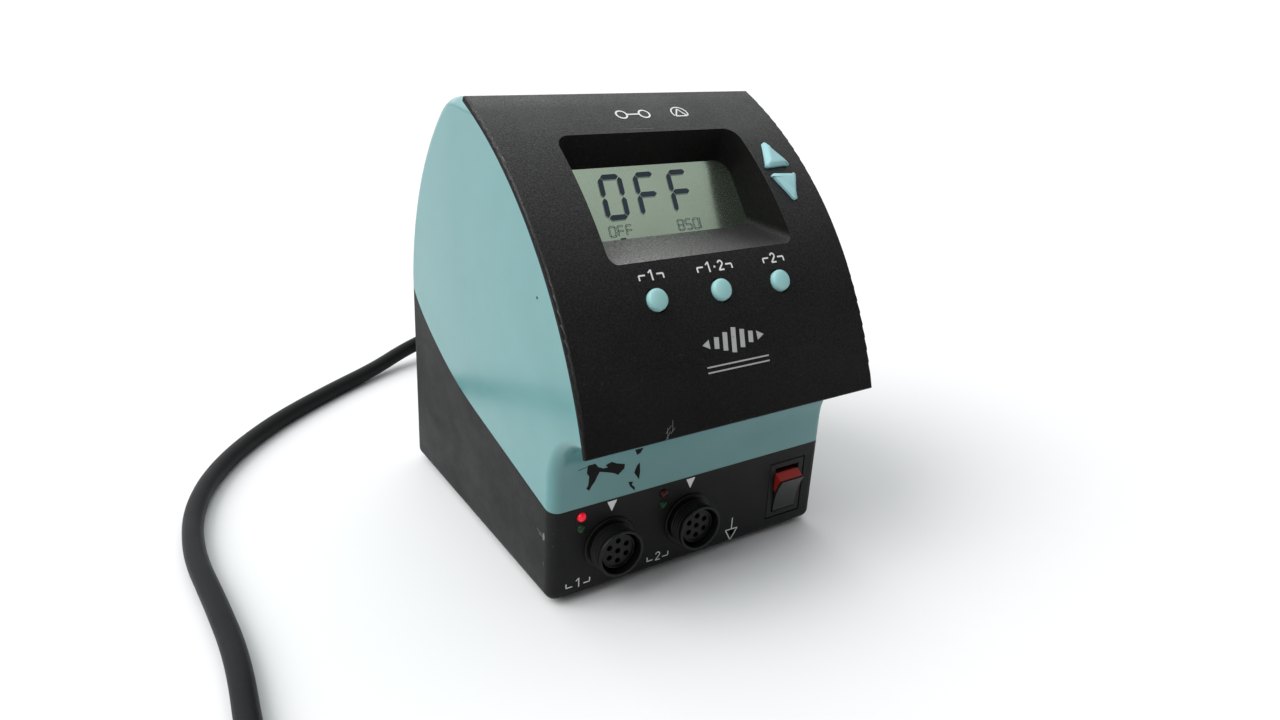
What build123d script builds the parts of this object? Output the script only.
from build123d import *
import math
import os

# Two-channel bench soldering station: a moulded housing with a curved control
# panel, a recessed display, five keys, two round iron sockets and a rocker
# switch, with its transformer and boards inside and a detachable mains lead.
#
# Frame: +X right and -Y forward as the user sees it, +Z up, millimetres.
# The origin is on the bench, under the middle of the housing's bounding box.

os.makedirs("parts", exist_ok=True)

# ---------------------------------------------------------------- dimensions

WIDTH = 108.0  # housing, left to right
LIP_REACH = 19.6  # the panel's lower lip stands this far in front of the front wall
LENGTH = 135.0  # lip to the flange of the mains inlet
FOOT_HEIGHT = 1.5
FRONT_Y = LIP_REACH - LENGTH / 2  # the front wall
REAR_FACE = LENGTH - LIP_REACH  # rearmost plane, counted back from the front wall
WALL = 2.5
HALF = WIDTH / 2
EDGE_R = 3.5
PARTING_FRONT = 32.0  # height of the line between base and cover at the front
PARTING_REAR = 76.0  # and at the back
ARCH_R = 18.8  # cove under the panel's lip
ARCH_TOP = 60.3

PANEL_Y = 109.6  # axis of the panel's curve, back from the front wall
PANEL_Z = 20.2  # and up from the underside
PANEL_R = 135.4  # outer face
PANEL_T = 2.0
PANEL_TOP = 22.2  # upper edge, degrees from the vertical
PANEL_LIP = 73.0  # lower edge
SEAT_R = PANEL_R - PANEL_T
OPENING_HALF = 49.5  # opening in the cover, behind the panel
OPENING_TOP = 27.0
OPENING_LIP = 68.5

DISPLAY_TILT = 51.5  # glass, degrees from the horizontal
DISPLAY_Y = 34.03  # centre of the glass
DISPLAY_Z = 115.09
WINDOW_HALF = 34.0
LEDGE_FRONT = (4.0, 105.0)
GLASS_SEEN = 24.5  # height of the glass seen at the bottom of the pocket
BROW_FRONT = (38.9, 135.6)
BROW_CORNER = 5.0
LEDGE_CORNER = 3.0
POCKET_WALL = 2.0
GLASS_W = 72.0
GLASS_H = 28.0
GLASS_T = 2.2
BOARD_FRONT = -6.4  # display board, behind the glass
BOARD_T = 1.6

KEY_X = {"channel_1": -22.4, "both_channels": 0.6, "channel_2": 23.5}
KEY_ANGLE = 56.2
KEY_R = 3.3
KEY_PROUD = 2.0
KEY_GAP = 0.45
ARROW_X = {"up": 41.4, "down": 41.8}
ARROW_ANGLE = {"up": 37.05, "down": 42.93}
ARROW_WIDTH = 9.2
ARROW_HEIGHT = 9.9
KEY_SKIRT = 5.0  # length of a key's body below the panel's outer face
STEM_R = 2.0
SWITCH_BODY = 6.0
STEM_END = -1.0  # all three measured from the front of the display glass
TIP_END = -3.9
SWITCH_TOP = -2.9
TIP_R = 1.65

LINE_Z = 16.4  # sockets and power switch stand on one line
SOCKET_X = (-33.1, -3.05)
FLANGE_R = 9.2
FLANGE_T = 0.9
BARREL_R = 7.95
BARREL_BORE_R = 6.95
BARREL_REACH = 7.5
THREAD_PITCH = 1.5
THREAD_DEPTH = 0.4
NECK_R = 7.3
NECK_DEPTH = 14.0
INSERT_R = 5.9
INSERT_FACE = 5.1
CONTACT_RING = 3.5
CONTACT_R = 0.95
CONTACT_BORE_R = 0.6
NUT_R = 9.4

LED_X = (-43.4, -13.4)
LED_Z = {"red": 28.6, "green": 24.6}
LED_R = 1.5

POWER_X = 39.4
BEZEL_W = 15.3
BEZEL_H = 21.4
BEZEL_T = 1.4
BEZEL_GAP = 0.35
SLOT_W = 10.6  # opening for the rocker
SLOT_H = 17.4
POWER_BODY_W = 13.2
POWER_BODY_H = 19.2
POWER_DEPTH = 17.0
ROCKER_W = 10.0
ROCKER_TILT = 14.5
ROCKER_PIVOT = 3.5  # depth of the pivot behind the front face
PIVOT_R = 1.2

JACK_X = 16.5
JACK_Z = 5.0
JACK_R = 1.45
JACK_BORE_R = 1.0

INLET_X = 30.0
INLET_Z = 26.0
INLET_SEAT = 113.0
INLET_W = 30.0
INLET_H = 22.5
FUSE_X = 30.0
FUSE_Z = 56.0
FUSE_SEAT = 112.4
FUSE_FLANGE_R = 9.0
FUSE_R = 6.6

POST_X = 47.3
POSTS = ((28.0, 38.6), (104.0, 67.4))  # place from front to back, and height
POST_R = 4.5
POST_GRIP = 18.0
SCREW_R = 1.7
SCREW_HEAD_R = 2.8
SCREW_HEAD_T = 2.4
SCREW_SINK = 4.0
FOOT_R = 6.0
FOOT_SEAT = 0.5
FOOT_PLACES = ((-43, 12), (43, 12), (-43, 90), (43, 90))

CORD_D = 6.8
CORD_R = CORD_D / 2
COIL_CENTRE = (-94.0, -175.0)
COIL_MEAN_R = 38.2
COIL_HALF_WIDTH = 13.8
COIL_HEIGHT = 2 * CORD_D

# -------------------------------------------------------------------- planes
# Local coordinates are counted from the foot of the front wall: back and up on
# SIDE, right and up on FRONT, right and back on FLOOR.

FOOT_OF_WALL = (0, FRONT_Y, FOOT_HEIGHT)
SIDE = Plane(origin=FOOT_OF_WALL, x_dir=(0, 1, 0), z_dir=(1, 0, 0))
FRONT = Plane(origin=FOOT_OF_WALL, x_dir=(1, 0, 0), z_dir=(0, -1, 0))
FLOOR = Plane(origin=FOOT_OF_WALL, x_dir=(1, 0, 0), z_dir=(0, 0, 1))

tilt = math.radians(DISPLAY_TILT)
DISPLAY = Plane(
    origin=(0, FRONT_Y + DISPLAY_Y, FOOT_HEIGHT + DISPLAY_Z),
    x_dir=(1, 0, 0),
    z_dir=(0, -math.sin(tilt), math.cos(tilt)),
)


def save(part, name):
    """Label one finished piece and write it to its own file."""
    part.label = name
    export_step(part, f"parts/{name}.step")


def on_panel(angle, radius=PANEL_R):
    """Side-plane coordinates of a point of the control panel's curve."""
    a = math.radians(angle)
    return (PANEL_Y - radius * math.sin(a), PANEL_Z + radius * math.cos(a))


def panel_plane(x, angle):
    """Plane tangent to the panel's outer face, its normal pointing outwards."""
    back, up = on_panel(angle)
    a = math.radians(angle)
    return Plane(
        origin=(x, FRONT_Y + back, FOOT_HEIGHT + up),
        x_dir=(1, 0, 0),
        z_dir=(0, -math.sin(a), math.cos(a)),
    )


def on_display(height, distance):
    """Side-plane coordinates of a point given by the display glass's own axes."""
    back = DISPLAY_Y + height * math.cos(tilt) - distance * math.sin(tilt)
    up = DISPLAY_Z + height * math.sin(tilt) + distance * math.cos(tilt)
    return (back, up)


def display_place(angle):
    """Height and distance of a panel point, measured from the display glass."""
    back, up = on_panel(angle)
    dy = back - DISPLAY_Y
    dz = up - DISPLAY_Z
    height = dy * math.cos(tilt) + dz * math.sin(tilt)
    distance = dz * math.cos(tilt) - dy * math.sin(tilt)
    return height, distance


def panel_distance(height, radius):
    """Distance from the display plane to a curve of the panel, at that height."""
    dy = DISPLAY_Y + height * math.cos(tilt) - PANEL_Y
    dz = DISPLAY_Z + height * math.sin(tilt) - PANEL_Z
    along = dz * math.cos(tilt) - dy * math.sin(tilt)
    return math.sqrt(along**2 - dy**2 - dz**2 + radius**2) - along


# ------------------------------------------------------- housing outer shape

# Drawn through to a plane in front, then cut to the curve the panel sits on.

FRONT_REACH = -40.0
crown = (66.0, 144.3)
shoulder = (80.5, 137.8)
waist = (112.4, PARTING_REAR)
heel = (114.3, 0)
seat_back = on_panel(PANEL_TOP, SEAT_R)
top_slope = (crown[1] - seat_back[1]) / (crown[0] - seat_back[0])
top_front = (FRONT_REACH, crown[1] - top_slope * (crown[0] - FRONT_REACH))

with BuildSketch(SIDE) as long_outline:
    with BuildLine():
        Polyline(top_front, (FRONT_REACH, ARCH_TOP), (-ARCH_R, ARCH_TOP))
        RadiusArc((-ARCH_R, ARCH_TOP), (0, ARCH_TOP - ARCH_R), ARCH_R)
        Polyline((0, ARCH_TOP - ARCH_R), (0, 0), heel, waist)
        ThreePointArc(waist, (99.7, 113.8), shoulder)
        ThreePointArc(shoulder, (74.2, 142.2), crown)
        Line(crown, top_front)
    make_face()

with BuildSketch(SIDE) as panel_seat:
    with Locations((PANEL_Y, PANEL_Z)):
        Circle(SEAT_R)

with BuildSketch(SIDE) as cavity_outline:
    add(long_outline.sketch_local)
    add(panel_seat.sketch_local, mode=Mode.INTERSECT)
    offset(amount=-WALL, kind=Kind.INTERSECTION)


def is_rounded(edge):
    """True for the long outer edges of the housing, at its sides and its floor."""
    middle = SIDE.to_local_coords(edge @ 0.5)
    on_side = abs(middle.Z) > HALF - 0.01 and middle.X > FRONT_REACH + 0.01
    return on_side or abs(middle.Y) < 0.01


with BuildPart() as body_block:
    with BuildSketch(SIDE.offset(-HALF)):
        add(long_outline.sketch_local)
    extrude(amount=WIDTH)
    fillet(body_block.edges().filter_by(is_rounded).sort_by(Axis.Z), EDGE_R)
    with BuildSketch(SIDE.offset(-HALF)):
        add(panel_seat.sketch_local)
    extrude(amount=WIDTH, mode=Mode.INTERSECT)

with BuildPart() as body_shell:
    add(body_block.part)
    with BuildSketch(SIDE.offset(WALL - HALF)):
        add(cavity_outline.sketch_local)
    extrude(amount=WIDTH - 2 * WALL, mode=Mode.SUBTRACT)

# Everything below the line between base and cover, drawn oversize.
with BuildPart() as lower_half:
    with BuildSketch(SIDE.offset(-WIDTH)):
        with BuildLine():
            bend = (53.4, 43.4)
            rear = (waist[0] + 0.2, PARTING_REAR)
            Polyline((0, PARTING_FRONT), (-60, PARTING_FRONT), (-60, -20), (160, -20), (160, rear[1]), rear)
            Spline(rear, (105.8, 67.0), (86.4, 54.8), bend, tangents=[(-0.42, -1), (-1, -0.222)])
            Line(bend, (0, PARTING_FRONT))
        make_face()
    extrude(amount=2 * WIDTH)

# ------------------------------------------------------------------ the base

with BuildPart() as base_tub:
    add(body_shell.part)
    add(lower_half.part, mode=Mode.INTERSECT)
    # Screw posts in the four corners.
    for place, top in POSTS:
        with BuildSketch(FLOOR.offset(WALL - 0.5)):
            with Locations((-POST_X, place), (POST_X, place)):
                Circle(POST_R - 0.5)
        extrude(amount=top - WALL + 0.5)
        with BuildSketch(FLOOR.offset(-1)):
            with Locations((-POST_X, place), (POST_X, place)):
                Circle(SCREW_R + 0.15)
        extrude(amount=top + 2, mode=Mode.SUBTRACT)
        with BuildSketch(FLOOR.offset(-1)):
            with Locations((-POST_X, place), (POST_X, place)):
                Circle(SCREW_HEAD_R + 0.3)
        extrude(amount=1 + SCREW_SINK, mode=Mode.SUBTRACT)
    # Seats for the feet.
    with BuildSketch(FLOOR):
        with Locations(*FOOT_PLACES):
            Circle(FOOT_R + 0.05)
    extrude(amount=FOOT_SEAT, mode=Mode.SUBTRACT)
    # Cooling slots under the transformer.
    with BuildSketch(FLOOR.offset(-1)):
        with Locations((-18, 69)):
            with GridLocations(6.5, 0, 7, 1):
                SlotOverall(24, 3, rotation=90)
    extrude(amount=WALL + 2, mode=Mode.SUBTRACT)
    # Front wall: sockets, lamps, switch and bonding jack.
    with BuildSketch(FRONT.offset(1)):
        with Locations(*[(x, LINE_Z) for x in SOCKET_X]):
            Circle(NECK_R + 0.1)
        with Locations(*[(x, z) for x in LED_X for z in LED_Z.values()]):
            Circle(LED_R + 0.05)
        with Locations((POWER_X, LINE_Z)):
            Rectangle(POWER_BODY_W + 0.2, POWER_BODY_H + 0.2)
        with Locations((JACK_X, JACK_Z)):
            Circle(JACK_R + 0.05)
    extrude(amount=-(WALL + 2), mode=Mode.SUBTRACT)
    with BuildSketch(FRONT.offset(1)):
        with Locations((POWER_X, LINE_Z)):
            Rectangle(BEZEL_W + 2 * BEZEL_GAP, BEZEL_H + 2 * BEZEL_GAP)
    extrude(amount=-(1 + BEZEL_T), mode=Mode.SUBTRACT)
    # Rear wall: flat seats and cut-outs for the mains inlet and the fuse holder.
    with BuildSketch(FRONT.offset(-INLET_SEAT)):
        with Locations((INLET_X, INLET_Z)):
            Rectangle(INLET_W + 0.5, INLET_H + 0.5)
    extrude(amount=-10, mode=Mode.SUBTRACT)
    with BuildSketch(FRONT.offset(-FUSE_SEAT)):
        with Locations((FUSE_X, FUSE_Z)):
            Circle(FUSE_FLANGE_R + 0.3)
    extrude(amount=-10, mode=Mode.SUBTRACT)
    with BuildSketch(FRONT.offset(-100)):
        with Locations((INLET_X, INLET_Z)):
            Rectangle(INLET_W - 2.6, INLET_H - 2.6)
        with Locations((FUSE_X, FUSE_Z)):
            Circle(FUSE_R + 0.1)
    extrude(amount=-20, mode=Mode.SUBTRACT)
save(base_tub.part, "base_tub")

for number, place in enumerate(FOOT_PLACES, start=1):
    with BuildPart() as foot:
        with BuildSketch(FLOOR.offset(-FOOT_HEIGHT)):
            with Locations(place):
                Circle(FOOT_R)
        extrude(amount=FOOT_HEIGHT + FOOT_SEAT)
        fillet(foot.edges().sort_by(Axis.Z)[0], 0.6)
    save(foot.part, f"rubber_foot_{number}")

with BuildPart() as case_screws:
    for place, top in POSTS:
        with BuildSketch(FLOOR.offset(SCREW_SINK - SCREW_HEAD_T)):
            with Locations((-POST_X, place), (POST_X, place)):
                Circle(SCREW_HEAD_R)
        extrude(amount=SCREW_HEAD_T)
        with BuildSketch(FLOOR.offset(SCREW_SINK - 0.2)):
            with Locations((-POST_X, place), (POST_X, place)):
                Circle(SCREW_R)
        extrude(amount=top + 10 - SCREW_SINK)
        with BuildSketch(FLOOR.offset(SCREW_SINK - SCREW_HEAD_T)):
            with Locations((-POST_X, place), (POST_X, place)):
                Rectangle(3.6, 0.8)
                Rectangle(0.8, 3.6)
        extrude(amount=SCREW_HEAD_T / 2, mode=Mode.SUBTRACT)
save(case_screws.part, "case_screws")

# --------------------------------------------------------------- upper cover

with BuildPart() as panel_opening:
    with BuildSketch(SIDE.offset(-OPENING_HALF)):
        with Locations((PANEL_Y, PANEL_Z)):
            Circle(SEAT_R + 5)
            Circle(SEAT_R - 12, mode=Mode.SUBTRACT)
        Polygon(
            (PANEL_Y, PANEL_Z),
            on_panel(OPENING_TOP, 2 * SEAT_R),
            on_panel((OPENING_TOP + OPENING_LIP) / 2, 2 * SEAT_R),
            on_panel(OPENING_LIP, 2 * SEAT_R),
            align=None,
            mode=Mode.INTERSECT,
        )
    extrude(amount=2 * OPENING_HALF)

with BuildPart() as upper_cover:
    add(body_shell.part)
    add(lower_half.part, mode=Mode.SUBTRACT)
    add(panel_opening.part, mode=Mode.SUBTRACT)
    for place, bottom in POSTS:
        with BuildSketch(FLOOR.offset(bottom + 0.2)):
            with Locations((-POST_X, place), (POST_X, place)):
                Circle(POST_R)
        extrude(amount=POST_GRIP)
        with BuildSketch(FLOOR.offset(bottom)):
            with Locations((-POST_X, place), (POST_X, place)):
                Circle(SCREW_R + 0.05)
        extrude(amount=POST_GRIP - 3, mode=Mode.SUBTRACT)
save(upper_cover.part, "upper_cover")

# ------------------------------------------------------------- control panel

with BuildPart() as window_void:
    brow_far = (BROW_FRONT[0] - 3.0, BROW_FRONT[1] + 11.9)
    with BuildSketch(SIDE.offset(-WINDOW_HALF)):
        Polygon(
            (-12, LEDGE_FRONT[1] - 0.3),
            on_display(-GLASS_SEEN / 2, 0),
            on_display(GLASS_SEEN / 2, 0),
            brow_far,
            (-12, brow_far[1]),
            align=None,
        )
    extrude(amount=2 * WINDOW_HALF)
    corners = window_void.edges().filter_by(lambda e: abs((e @ 0.5).X) > WINDOW_HALF - 0.1)
    ledge = corners.filter_by(lambda e: abs(SIDE.to_local_coords(e @ 0.5).Y - LEDGE_FRONT[1]) < 0.6)
    fillet(ledge, LEDGE_CORNER)
    corners = window_void.edges().filter_by(lambda e: abs((e @ 0.5).X) > WINDOW_HALF - 0.1)
    brow = corners.filter_by(lambda e: abs(SIDE.to_local_coords(e @ 0.5).X - BROW_FRONT[0]) < 1.0)
    fillet(brow, BROW_CORNER)

with BuildPart() as pocket_block:
    with BuildSketch(SIDE.offset(-(WINDOW_HALF + POCKET_WALL))):
        Polygon(
            (-12, LEDGE_FRONT[1] - POCKET_WALL - 0.3),
            on_display(-14.6, 0.02),
            on_display(14.6, 0.02),
            (brow_far[0] + POCKET_WALL, brow_far[1]),
            (-12, brow_far[1]),
            align=None,
        )
    extrude(amount=2 * (WINDOW_HALF + POCKET_WALL))
    with BuildSketch(SIDE.offset(-HALF)):
        with Locations((PANEL_Y, PANEL_Z)):
            Circle(SEAT_R + 1)
    extrude(amount=WIDTH, mode=Mode.INTERSECT)

POST_PLACES = ((-41, 14.0), (41, 14.0), (-41, -43.0), (41, -43.0))

with BuildPart() as control_panel:
    with BuildSketch(SIDE.offset(-HALF)):
        with Locations((PANEL_Y, PANEL_Z)):
            Circle(PANEL_R)
            Circle(SEAT_R, mode=Mode.SUBTRACT)
        Polygon(
            (PANEL_Y, PANEL_Z),
            on_panel(PANEL_TOP, 2 * PANEL_R),
            on_panel((PANEL_TOP + PANEL_LIP) / 2, 2 * PANEL_R),
            on_panel(PANEL_LIP, 2 * PANEL_R),
            align=None,
            mode=Mode.INTERSECT,
        )
    extrude(amount=WIDTH)
    outer_edges = control_panel.faces().filter_by(GeomType.CYLINDER).sort_by(SortBy.AREA)[-1].edges()
    fillet(outer_edges, 0.8)
    # Posts for the display board.
    for x, height in POST_PLACES:
        with BuildSketch(DISPLAY.offset(BOARD_FRONT)):
            with Locations((x, height)):
                Circle(2.5)
        extrude(amount=panel_distance(height, SEAT_R) - BOARD_FRONT + 0.4)
        with BuildSketch(DISPLAY.offset(BOARD_FRONT)):
            with Locations((x, height)):
                Circle(0.9)
        extrude(amount=6, mode=Mode.SUBTRACT)
    # Snap hooks that hold the panel in the cover's opening.
    for angle in (OPENING_TOP + 1, OPENING_LIP - 1):
        for x in (-25, 0, 25):
            with BuildSketch(panel_plane(x, angle).offset(0.3 - PANEL_T)):
                Rectangle(8, 1.6)
            extrude(amount=-6)
    add(pocket_block.part)
    add(window_void.part, mode=Mode.SUBTRACT)
    # Holes for the keys.
    height, distance = display_place(KEY_ANGLE)
    with BuildSketch(DISPLAY.offset(distance - 8)):
        with Locations(*[(x, height) for x in KEY_X.values()]):
            Circle(KEY_R + KEY_GAP)
    extrude(amount=14, mode=Mode.SUBTRACT)
    for name, angle in ARROW_ANGLE.items():
        height, distance = display_place(angle)
        with BuildSketch(DISPLAY.offset(distance - 8)):
            with Locations((ARROW_X[name], height)):
                Triangle(
                    a=ARROW_WIDTH,
                    b=math.hypot(ARROW_WIDTH / 2, ARROW_HEIGHT),
                    c=math.hypot(ARROW_WIDTH / 2, ARROW_HEIGHT),
                    align=(Align.CENTER, Align.CENTER),
                    rotation=0 if name == "up" else 180,
                )
            offset(amount=KEY_GAP)
        extrude(amount=14, mode=Mode.SUBTRACT)
save(control_panel.part, "control_panel")

# ------------------------------------------------------------------- display

with BuildPart() as display_glass:
    with BuildSketch(DISPLAY.offset(-GLASS_T)):
        Rectangle(GLASS_W, GLASS_H)
    extrude(amount=GLASS_T)
save(display_glass.part, "display_glass")

with BuildPart() as display_reflector:
    with BuildSketch(DISPLAY.offset(-GLASS_T - 0.6)):
        Rectangle(GLASS_W - 2, GLASS_H - 7)
    extrude(amount=0.6)
save(display_reflector.part, "display_reflector")

with BuildPart() as display_frame:
    with BuildSketch(DISPLAY.offset(BOARD_FRONT)):
        Rectangle(GLASS_W + 4.4, GLASS_H + 4.6)
        Rectangle(GLASS_W + 0.4, GLASS_H + 0.4, mode=Mode.SUBTRACT)
    extrude(amount=-BOARD_FRONT - 0.3)
save(display_frame.part, "display_frame")

with BuildPart() as contact_strips:
    with BuildSketch(DISPLAY.offset(BOARD_FRONT)):
        with GridLocations(0, GLASS_H - 3.4, 1, 2):
            Rectangle(GLASS_W - 8, 2.4)
    extrude(amount=-BOARD_FRONT - GLASS_T)
save(contact_strips.part, "display_contact_strips")

key_places = {name: (x, display_place(KEY_ANGLE)) for name, x in KEY_X.items()}
key_places |= {name: (ARROW_X[name], display_place(angle)) for name, angle in ARROW_ANGLE.items()}

with BuildPart() as display_board:
    with BuildSketch(DISPLAY.offset(BOARD_FRONT - BOARD_T)):
        with Locations((0, -14.5)):
            RectangleRounded(96, 63, 2)
        with Locations(*POST_PLACES):
            Circle(1.1, mode=Mode.SUBTRACT)
    extrude(amount=BOARD_T)
save(display_board.part, "display_board")

with BuildPart() as board_screws:
    for x, height in POST_PLACES:
        with BuildSketch(DISPLAY.offset(BOARD_FRONT - BOARD_T - 1.4)):
            with Locations((x, height)):
                Circle(2.2)
        extrude(amount=1.4)
        with BuildSketch(DISPLAY.offset(BOARD_FRONT - BOARD_T - 0.2)):
            with Locations((x, height)):
                Circle(0.85)
        extrude(amount=BOARD_T + 5)
save(board_screws.part, "display_board_screws")

with BuildPart() as key_switches:
    for x, (height, distance) in key_places.values():
        with BuildSketch(DISPLAY.offset(BOARD_FRONT)):
            with Locations((x, height)):
                Rectangle(SWITCH_BODY, SWITCH_BODY)
        extrude(amount=SWITCH_TOP - BOARD_FRONT)
        with BuildSketch(DISPLAY.offset(TIP_END - 1.3)):
            with Locations((x, height)):
                Circle(TIP_R + 0.1)
        extrude(amount=4, mode=Mode.SUBTRACT)
save(key_switches.part, "key_switch_bodies")

# ---------------------------------------------------------------------- keys

for name, (x, (height, distance)) in key_places.items():
    angle = ARROW_ANGLE.get(name, KEY_ANGLE)
    with BuildPart() as key:
        with BuildSketch(DISPLAY.offset(distance - KEY_SKIRT)):
            with Locations((x, height)):
                if name in ARROW_ANGLE:
                    Triangle(
                        a=ARROW_WIDTH,
                        b=math.hypot(ARROW_WIDTH / 2, ARROW_HEIGHT),
                        c=math.hypot(ARROW_WIDTH / 2, ARROW_HEIGHT),
                        align=(Align.CENTER, Align.CENTER),
                        rotation=0 if name == "up" else 180,
                    )
                else:
                    Circle(KEY_R)
        extrude(amount=KEY_SKIRT + 8)
        # The top follows the panel's curve.
        with BuildSketch(panel_plane(x, angle).offset(KEY_PROUD)):
            Rectangle(40, 40)
        extrude(amount=20, mode=Mode.SUBTRACT)
        rim = key.faces().filter_by(GeomType.PLANE).sort_by(Axis(DISPLAY.origin, DISPLAY.z_dir))[-1]
        chamfer(rim.edges(), 0.9)
        with BuildSketch(DISPLAY.offset(STEM_END)):
            with Locations((x, height)):
                Circle(STEM_R)
        extrude(amount=distance - KEY_SKIRT - STEM_END + 0.5)
        with BuildSketch(DISPLAY.offset(TIP_END)):
            with Locations((x, height)):
                Circle(TIP_R)
        extrude(amount=STEM_END - TIP_END + 0.5)
    save(key.part, f"key_{name}")

# -------------------------------------------------------------- iron sockets

for number, x in enumerate(SOCKET_X, start=1):
    with BuildPart() as shell:
        with BuildSketch(FRONT):
            with Locations((x, LINE_Z)):
                Circle(FLANGE_R)
        extrude(amount=FLANGE_T)
        with BuildSketch(FRONT):
            with Locations((x, LINE_Z)):
                Circle(BARREL_R)
        extrude(amount=BARREL_REACH)
        with BuildSketch(FRONT.offset(0.2)):
            with Locations((x, LINE_Z)):
                Circle(NECK_R)
        extrude(amount=-NECK_DEPTH - 0.2)
        # Thread grooves round the barrel.
        for turn in range(3):
            with BuildSketch(FRONT.offset(1.9 + turn * THREAD_PITCH)):
                with Locations((x, LINE_Z)):
                    Circle(BARREL_R + 1)
                    Circle(BARREL_R - THREAD_DEPTH, mode=Mode.SUBTRACT)
            extrude(amount=0.7, mode=Mode.SUBTRACT)
        with BuildSketch(FRONT.offset(BARREL_REACH)):
            with Locations((x, LINE_Z)):
                Circle(BARREL_BORE_R)
        extrude(amount=-(BARREL_REACH + 1.5), mode=Mode.SUBTRACT)
        with BuildSketch(FRONT.offset(BARREL_REACH)):
            with Locations((x, LINE_Z)):
                Circle(INSERT_R)
        extrude(amount=-(BARREL_REACH + 2 * NECK_DEPTH), mode=Mode.SUBTRACT)
        chamfer(shell.edges().filter_by(GeomType.CIRCLE).sort_by(Axis.Y)[:2], 0.35)
    save(shell.part, f"socket_{number}_shell")

    with BuildPart() as insert:
        with BuildSketch(FRONT.offset(INSERT_FACE)):
            with Locations((x, LINE_Z)):
                Circle(INSERT_R)
                Circle(CONTACT_R, mode=Mode.SUBTRACT)
                with PolarLocations(CONTACT_RING, 6, start_angle=30):
                    Circle(CONTACT_R, mode=Mode.SUBTRACT)
        extrude(amount=-(INSERT_FACE + NECK_DEPTH))
    save(insert.part, f"socket_{number}_insert")

    with BuildPart() as contacts:
        with BuildSketch(FRONT.offset(INSERT_FACE - 2)):
            with Locations((x, LINE_Z)):
                Circle(CONTACT_R)
                with PolarLocations(CONTACT_RING, 6, start_angle=30):
                    Circle(CONTACT_R)
                Circle(CONTACT_BORE_R, mode=Mode.SUBTRACT)
                with PolarLocations(CONTACT_RING, 6, start_angle=30):
                    Circle(CONTACT_BORE_R, mode=Mode.SUBTRACT)
        extrude(amount=-(INSERT_FACE - 2 + NECK_DEPTH + 6.5))
    save(contacts.part, f"socket_{number}_contacts")

    with BuildPart() as nut:
        with BuildSketch(FRONT.offset(-WALL)):
            with Locations((x, LINE_Z)):
                RegularPolygon(NUT_R, 6)
                Circle(NECK_R + 0.02, mode=Mode.SUBTRACT)
        extrude(amount=-3)
    save(nut.part, f"socket_{number}_nut")

SOCKET_BOARD = 18.0

with BuildPart() as socket_board:
    with BuildSketch(FRONT.offset(-SOCKET_BOARD)):
        with Locations((-20, 18)):
            Rectangle(58, 29)
        for x in SOCKET_X:
            with Locations((x, LINE_Z)):
                Circle(CONTACT_R + 0.02, mode=Mode.SUBTRACT)
                with PolarLocations(CONTACT_RING, 6, start_angle=30):
                    Circle(CONTACT_R + 0.02, mode=Mode.SUBTRACT)
    extrude(amount=-BOARD_T)
save(socket_board.part, "socket_board")

for number, x in enumerate(LED_X, start=1):
    for colour, z in LED_Z.items():
        with BuildPart() as lamp:
            with BuildSketch(FRONT.offset(-4)):
                with Locations((x, z)):
                    Circle(LED_R)
            extrude(amount=5.2)
            fillet(lamp.edges().filter_by(GeomType.CIRCLE).sort_by(Axis.Y)[0], LED_R - 0.15)
            with BuildSketch(FRONT.offset(-3.9)):
                with Locations((x - 0.65, z), (x + 0.65, z)):
                    Rectangle(0.45, 0.45)
            extrude(amount=-(SOCKET_BOARD - 3.9))
        save(lamp.part, f"lamp_{number}_{colour}")

# -------------------------------------------------------------- power switch

with BuildPart() as switch_housing:
    with BuildSketch(FRONT.offset(-BEZEL_T)):
        with Locations((POWER_X, LINE_Z)):
            Rectangle(BEZEL_W, BEZEL_H)
    extrude(amount=BEZEL_T)
    chamfer(switch_housing.faces().sort_by(Axis.Y)[0].edges(), 0.25)
    with BuildSketch(FRONT.offset(-BEZEL_T)):
        with Locations((POWER_X, LINE_Z)):
            Rectangle(POWER_BODY_W, POWER_BODY_H)
    extrude(amount=-(POWER_DEPTH - BEZEL_T))
    with BuildSketch(FRONT):
        with Locations((POWER_X, LINE_Z)):
            Rectangle(SLOT_W, SLOT_H)
    extrude(amount=-(POWER_DEPTH - 4), mode=Mode.SUBTRACT)
    with BuildSketch(SIDE.offset(POWER_X - 6)):
        with Locations((ROCKER_PIVOT, LINE_Z)):
            Circle(PIVOT_R + 0.05)
    extrude(amount=12, mode=Mode.SUBTRACT)
save(switch_housing.part, "power_switch_housing")

with BuildPart() as rocker:
    # Drawn level, then tipped about its pivot with the upper end out.
    with BuildSketch(SIDE.offset(POWER_X - ROCKER_W / 2)):
        with BuildLine():
            Line((1.8, -7.4), (-2.35, -6.75))
            ThreePointArc((-2.35, -6.75), (-1.45, 0), (-2.35, 6.75))
            Polyline((-2.35, 6.75), (1.8, 7.4), (6.0, 4.5), (8.4, 1.2))
            Polyline((8.4, 1.2), (8.4, -1.2), (6.0, -4.5), (1.8, -7.4))
        make_face()
    extrude(amount=ROCKER_W)
    fillet(rocker.edges().filter_by(Axis.X).sort_by(Axis.Y)[:2], 0.3)
    with BuildSketch(SIDE.offset(POWER_X - 5.9)):
        with Locations((ROCKER_PIVOT, 0)):
            Circle(PIVOT_R)
    extrude(amount=11.8)
pivot = Axis((0, FRONT_Y + ROCKER_PIVOT, FOOT_HEIGHT), (1, 0, 0))
tipped = rocker.part.rotate(pivot, ROCKER_TILT).moved(Location((0, 0, LINE_Z)))
save(tipped, "power_rocker")

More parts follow.
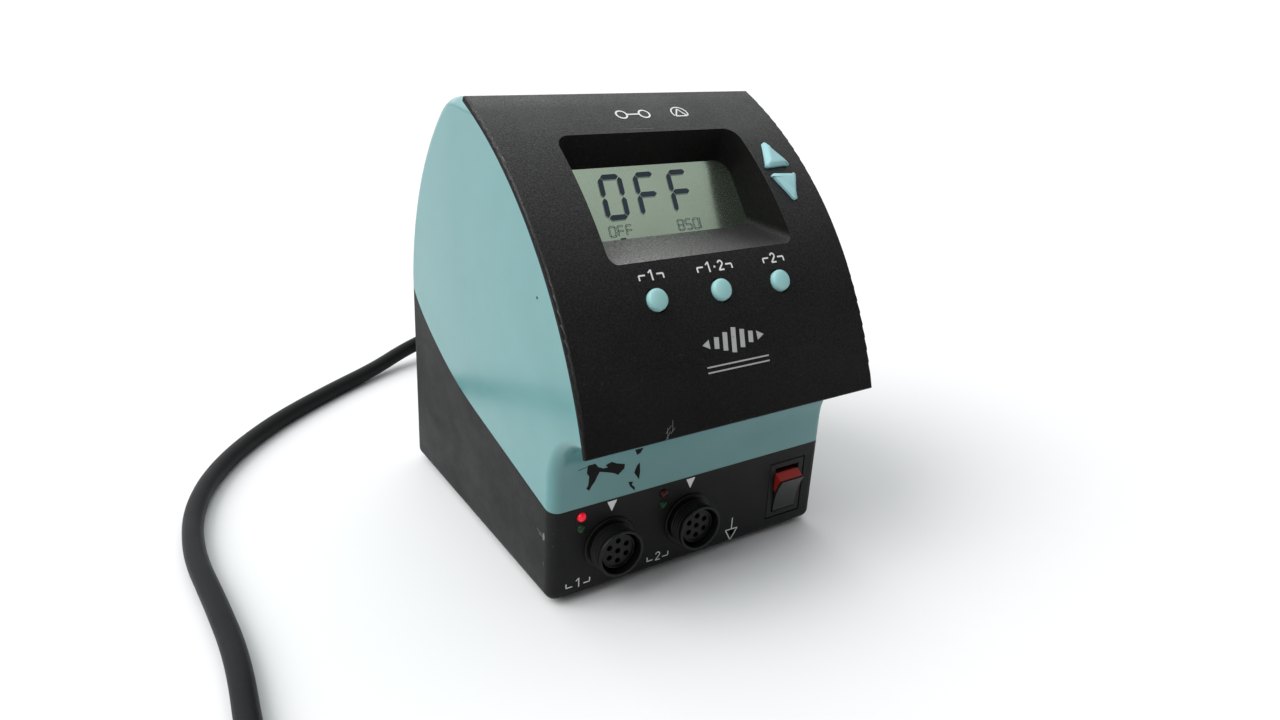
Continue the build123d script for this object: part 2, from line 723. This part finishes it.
with BuildPart() as switch_tabs:
    with BuildSketch(FRONT.offset(-POWER_DEPTH)):
        with Locations((POWER_X, LINE_Z - 6), (POWER_X, LINE_Z + 1), (POWER_X, LINE_Z + 7)):
            Rectangle(4.8, 0.8)
    extrude(amount=-7)
save(switch_tabs.part, "power_switch_tabs")

with BuildPart() as bonding_jack:
    with BuildSketch(FRONT):
        with Locations((JACK_X, JACK_Z)):
            Circle(JACK_R)
    extrude(amount=-9)
    with BuildSketch(FRONT.offset(-WALL)):
        with Locations((JACK_X, JACK_Z)):
            Circle(2.3)
    extrude(amount=-4)
    with BuildSketch(FRONT):
        with Locations((JACK_X, JACK_Z)):
            Circle(JACK_BORE_R)
    extrude(amount=-8, mode=Mode.SUBTRACT)
save(bonding_jack.part, "bonding_jack")

# --------------------------------------------------- mains inlet and the fuse

INLET_DEPTH = 18.0  # body behind the seat
CAVITY_DEPTH = 16.0
CAVITY_W = 24.4
CAVITY_H = 16.4
PIN_W = 2.0
PIN_H = 4.0
PIN_PLACES = ((INLET_X - 7, INLET_Z - 2), (INLET_X, INLET_Z + 2), (INLET_X + 7, INLET_Z - 2))

with BuildPart() as inlet:
    with BuildSketch(FRONT.offset(-INLET_SEAT)):
        with Locations((INLET_X, INLET_Z)):
            RectangleRounded(INLET_W, INLET_H, 2)
    extrude(amount=-(REAR_FACE - INLET_SEAT))
    with BuildSketch(FRONT.offset(-INLET_SEAT)):
        with Locations((INLET_X, INLET_Z)):
            Rectangle(INLET_W - 2.8, INLET_H - 2.8)
    extrude(amount=INLET_DEPTH)
    with BuildSketch(FRONT.offset(-REAR_FACE)):
        with Locations((INLET_X, INLET_Z)):
            RectangleRounded(CAVITY_W, CAVITY_H, 3)
    extrude(amount=CAVITY_DEPTH, mode=Mode.SUBTRACT)
    with BuildSketch(FRONT.offset(-REAR_FACE)):
        with Locations(*PIN_PLACES):
            Rectangle(PIN_W, PIN_H)
    extrude(amount=INLET_DEPTH + 5, mode=Mode.SUBTRACT)
save(inlet.part, "mains_inlet")

with BuildPart() as inlet_pins:
    with BuildSketch(FRONT.offset(-(REAR_FACE - 4))):
        with Locations(*PIN_PLACES):
            Rectangle(PIN_W, PIN_H)
    extrude(amount=INLET_DEPTH + 5)
save(inlet_pins.part, "mains_inlet_pins")

with BuildPart() as fuse_holder:
    with BuildSketch(FRONT.offset(-FUSE_SEAT)):
        with Locations((FUSE_X, FUSE_Z)):
            Circle(FUSE_FLANGE_R)
    extrude(amount=-1.6)
    with BuildSketch(FRONT.offset(-FUSE_SEAT)):
        with Locations((FUSE_X, FUSE_Z)):
            Circle(FUSE_R)
    extrude(amount=32)
    with BuildSketch(FRONT.offset(-FUSE_SEAT - 1.6)):
        with Locations((FUSE_X, FUSE_Z)):
            Circle(5.2)
    extrude(amount=31, mode=Mode.SUBTRACT)
save(fuse_holder.part, "fuse_holder")

with BuildPart() as fuse_cap:
    with BuildSketch(FRONT.offset(-FUSE_SEAT - 2.5)):
        with Locations((FUSE_X, FUSE_Z)):
            Circle(5.12)
    extrude(amount=6.9)
    with BuildSketch(FRONT.offset(-FUSE_SEAT - 2.5)):
        with Locations((FUSE_X, FUSE_Z)):
            Rectangle(8, 1.4)
    extrude(amount=1.2, mode=Mode.SUBTRACT)
save(fuse_cap.part, "fuse_cap")

with BuildPart() as fuse_link:
    with BuildSketch(FRONT.offset(-FUSE_SEAT + 4.6)):
        with Locations((FUSE_X, FUSE_Z)):
            Circle(2.6)
    extrude(amount=20)
save(fuse_link.part, "fuse_link")

# ----------------------------------------------------------- inside the base

CORE_X = (-46.0, 10.0)
CORE_Y = (53.0, 85.0)
CORE_Z = (8.0, 56.0)
LEG = 9.3
BRACKET_T = 1.2
EAR = 8.0  # bracket feet in front of and behind the core

core_middle = (sum(CORE_X) / 2, sum(CORE_Z) / 2)
core_w = CORE_X[1] - CORE_X[0]
core_h = CORE_Z[1] - CORE_Z[0]
core_t = CORE_Y[1] - CORE_Y[0]
window_h = core_h - 2 * LEG
window_w = (core_w - 4 * LEG) / 2

with BuildPart() as core:
    with BuildSketch(FRONT.offset(-CORE_Y[0])):
        with Locations(core_middle):
            Rectangle(core_w, core_h)
            with GridLocations(2 * LEG + window_w, 0, 2, 1):
                Rectangle(window_w, window_h, mode=Mode.SUBTRACT)
    extrude(amount=-core_t)
save(core.part, "transformer_core")

with BuildPart() as winding:
    with BuildSketch(FLOOR.offset(CORE_Z[0] + LEG + 0.3)):
        with Locations((core_middle[0], sum(CORE_Y) / 2)):
            RectangleRounded(2 * LEG + 2 * window_w - 0.6, core_t + 2 * window_w, 4)
            Rectangle(2 * LEG + 0.2, core_t + 0.2, mode=Mode.SUBTRACT)
    extrude(amount=window_h - 0.6)
save(winding.part, "transformer_winding")

with BuildPart() as bracket:
    for y in (CORE_Y[0] - 1 - EAR / 2, CORE_Y[1] + 1 + EAR / 2):
        with BuildSketch(FLOOR.offset(WALL)):
            with Locations((core_middle[0], y)):
                Rectangle(core_w, EAR)
                with GridLocations(core_w - 10, 0, 2, 1):
                    Circle(1.8, mode=Mode.SUBTRACT)
        extrude(amount=BRACKET_T)
    with BuildSketch(FLOOR.offset(WALL)):
        with Locations((core_middle[0], sum(CORE_Y) / 2)):
            Rectangle(core_w, core_t + 2)
    extrude(amount=CORE_Z[0] - WALL)
    with BuildSketch(FLOOR.offset(WALL)):
        with Locations((core_middle[0], sum(CORE_Y) / 2)):
            Rectangle(core_w + 2, core_t - 1)
    extrude(amount=CORE_Z[0] - WALL - BRACKET_T, mode=Mode.SUBTRACT)
save(bracket.part, "transformer_bracket")

with BuildPart() as bracket_screws:
    for y in (CORE_Y[0] - 1 - EAR / 2, CORE_Y[1] + 1 + EAR / 2):
        with BuildSketch(FLOOR.offset(WALL + BRACKET_T)):
            with Locations((core_middle[0], y)):
                with GridLocations(core_w - 10, 0, 2, 1):
                    Circle(2.9)
        extrude(amount=2)
        with BuildSketch(FLOOR.offset(WALL)):
            with Locations((core_middle[0], y)):
                with GridLocations(core_w - 10, 0, 2, 1):
                    Circle(1.6)
        extrude(amount=1.4)
save(bracket_screws.part, "transformer_screws")

BOARD_Y = 34.0

with BuildPart() as power_board:
    with BuildSketch(FRONT.offset(-BOARD_Y)):
        with Locations((0, 34)):
            Rectangle(80, 60)
    extrude(amount=-BOARD_T)
save(power_board.part, "power_board")

with BuildPart() as heat_sink:
    with BuildSketch(FLOOR.offset(10)):
        with Locations((27, BOARD_Y + BOARD_T + 6.5)):
            Rectangle(24, 2)
        with Locations((27, BOARD_Y + BOARD_T + 10)):
            with GridLocations(4.4, 0, 6, 1):
                Rectangle(1.2, 7)
    extrude(amount=44)
save(heat_sink.part, "heat_sink")

with BuildPart() as triacs:
    with BuildSketch(FRONT.offset(-(BOARD_Y + BOARD_T))):
        with Locations((21, 40), (33, 40)):
            Rectangle(10, 15)
    extrude(amount=-5.5)
save(triacs.part, "triacs")

with BuildPart() as capacitors:
    with BuildSketch(FRONT.offset(-BOARD_Y)):
        with Locations((-22, 50), (0, 50)):
            Circle(8)
    extrude(amount=22)
    tops = capacitors.faces().sort_by(Axis.Y)[:2]
    fillet(tops.edges(), 1.2)
save(capacitors.part, "smoothing_capacitors")

with BuildPart() as ribbon:
    with BuildSketch(SIDE.offset(-12)):
        with BuildLine():
            FilletPolyline((BOARD_Y - 0.2, 61), (27, 61), (22, 68), (19, 81.5), radius=4)
        trace(line_width=0.9)
    extrude(amount=20)
save(ribbon.part, "ribbon_cable")

# ---------------------------------------------------------- free mains cord

NOSE_GAP = 0.3
GRIP_LENGTH = 25.0
RELIEF_LENGTH = 21.0
RELIEF_START = REAR_FACE + GRIP_LENGTH

with BuildPart() as connector:
    with BuildSketch(FRONT.offset(-(REAR_FACE - CAVITY_DEPTH + NOSE_GAP))):
        with Locations((INLET_X, INLET_Z)):
            RectangleRounded(CAVITY_W - 2 * NOSE_GAP, CAVITY_H - 2 * NOSE_GAP, 2.7)
    extrude(amount=-(CAVITY_DEPTH + 1))
    with BuildSketch(FRONT.offset(-(REAR_FACE + 0.2))):
        with Locations((INLET_X, INLET_Z)):
            RectangleRounded(26, 19, 4)
    with BuildSketch(FRONT.offset(-RELIEF_START)):
        with Locations((INLET_X, INLET_Z)):
            RectangleRounded(15, 13, 5)
    loft()
    with BuildSketch(FRONT.offset(-(REAR_FACE - CAVITY_DEPTH))):
        with Locations(*PIN_PLACES):
            Rectangle(PIN_W + 2 * NOSE_GAP, PIN_H + 2 * NOSE_GAP)
    extrude(amount=-13, mode=Mode.SUBTRACT)
save(connector.part, "mains_connector")


def relief_cone(plane, start_r, end_r, length, rings):
    """A tapered strain relief along a plane's normal, with grooves round it."""
    with BuildPart() as cone:
        with BuildSketch(plane):
            Circle(start_r)
        with BuildSketch(plane.offset(length)):
            Circle(end_r)
        loft()
        for ring in range(rings):
            along = length * (ring + 1) / (rings + 1)
            radius = start_r + (end_r - start_r) * along / length
            with BuildSketch(plane.offset(along)):
                Circle(start_r + 2)
                Circle(radius - 0.7, mode=Mode.SUBTRACT)
            extrude(amount=1.4, mode=Mode.SUBTRACT)
    return cone.part


relief_start = (INLET_X, FRONT_Y + RELIEF_START, FOOT_HEIGHT + INLET_Z)
relief_plane = Plane(origin=relief_start, x_dir=(-1, 0, 0), z_dir=(0, 1, 0))
save(relief_cone(relief_plane, 5.8, 4.2, RELIEF_LENGTH, 5), "connector_strain_relief")

# Route of the cord from the connector to its coil, in the model's own frame.
CORD_ROUTE = [
    (30.0, 113.5, 27.5),
    (30.0, 128.0, 27.5),
    (25.0, 141.8, 25.2),
    (15.7, 153.1, 21.0),
    (3.1, 160.6, 15.7),
    (-11.3, 163.3, 10.8),
    (-25.8, 161.0, 7.2),
    (-45.1, 150.5, 3.9),
    (-69.5, 136.0, 3.4),
    (-98.5, 115.0, 3.4),
    (-121.5, 90.6, 3.4),
    (-136.5, 63.5, 3.4),
    (-142.6, 32.0, 3.4),
    (-140.7, -2.0, 3.4),
    (-140.0, -30.0, 3.4),
    (-143.4, -62.0, 3.4),
    (-144.4, -98.0, 3.4),
    (-142.5, -130.0, 3.4),
    (-142.5, -160.0, 3.4),
]
# Route from the coil to the plug.
TAIL_ROUTE = [
    (-94.0, -223.5, 10.2),
    (-77.0, -223.5, 10.2),
    (-59.0, -223.5, 18.6),
    (-42.0, -223.5, 18.6),
]


def corner_radii(route):
    """Radius of each corner: 0.45 of the shorter run over the tangent of half the turn."""
    radii = []
    for before, here, after in zip(route, route[1:], route[2:]):
        first = Vector(*here) - Vector(*before)
        second = Vector(*after) - Vector(*here)
        turn = math.radians(first.get_angle(second))
        radii.append(0.45 * min(first.length, second.length) / math.tan(turn / 2))
    return radii


def cord_tube(route, name):
    """A tube of straight runs and tangent arcs along a route."""
    radii = corner_radii(route)
    print(name, "radii", [round(r, 1) for r in radii])
    with BuildLine() as path:
        FilletPolyline(*route, radius=radii)
    start = Plane(origin=route[0], z_dir=Vector(*route[1]) - Vector(*route[0]))
    with BuildPart() as tube:
        with BuildSketch(start):
            Circle(CORD_R)
        sweep(path=path.line)
    length = sum(edge.length for edge in path.line.edges())
    ratio = tube.part.volume / (math.pi * CORD_R**2 * length)
    print(name, "length", round(length, 1), "volume over section times length", round(ratio, 4))
    save(tube.part, name)


cord_tube(CORD_ROUTE, "mains_cord")
cord_tube(TAIL_ROUTE, "mains_cord_tail")

with BuildPart() as cord_coil:
    with BuildSketch(Plane.XY):
        with Locations(COIL_CENTRE):
            Circle(COIL_MEAN_R + COIL_HALF_WIDTH)
            Circle(COIL_MEAN_R - COIL_HALF_WIDTH, mode=Mode.SUBTRACT)
    extrude(amount=COIL_HEIGHT)
    fillet(cord_coil.edges(), CORD_R - 0.1)
save(cord_coil.part, "mains_cord_coil")

plug_plane = Plane(origin=TAIL_ROUTE[-1], x_dir=(0, 1, 0), z_dir=(1, 0, 0))
PLUG_RELIEF = 24.0
save(relief_cone(plug_plane, 4.2, 6.0, PLUG_RELIEF, 5), "plug_strain_relief")

with BuildPart() as plug_body:
    with BuildSketch(plug_plane.offset(PLUG_RELIEF)):
        RectangleRounded(20, 16, 6)
    with BuildSketch(plug_plane.offset(PLUG_RELIEF + 14)):
        RectangleRounded(37, 30, 10)
    loft()
    with BuildSketch(plug_plane.offset(PLUG_RELIEF + 14)):
        Circle(18.5)
    extrude(amount=19)
    fillet(plug_body.faces().sort_by(Axis.X)[-1].edges(), 1.2)
save(plug_body.part, "plug_body")

with BuildPart() as plug_pins:
    with BuildSketch(plug_plane.offset(PLUG_RELIEF + 33)):
        with GridLocations(19, 0, 2, 1):
            Circle(2.4)
    extrude(amount=19)
    fillet(plug_pins.faces().sort_by(Axis.X)[-2:].edges(), 1.2)
save(plug_pins.part, "plug_pins")
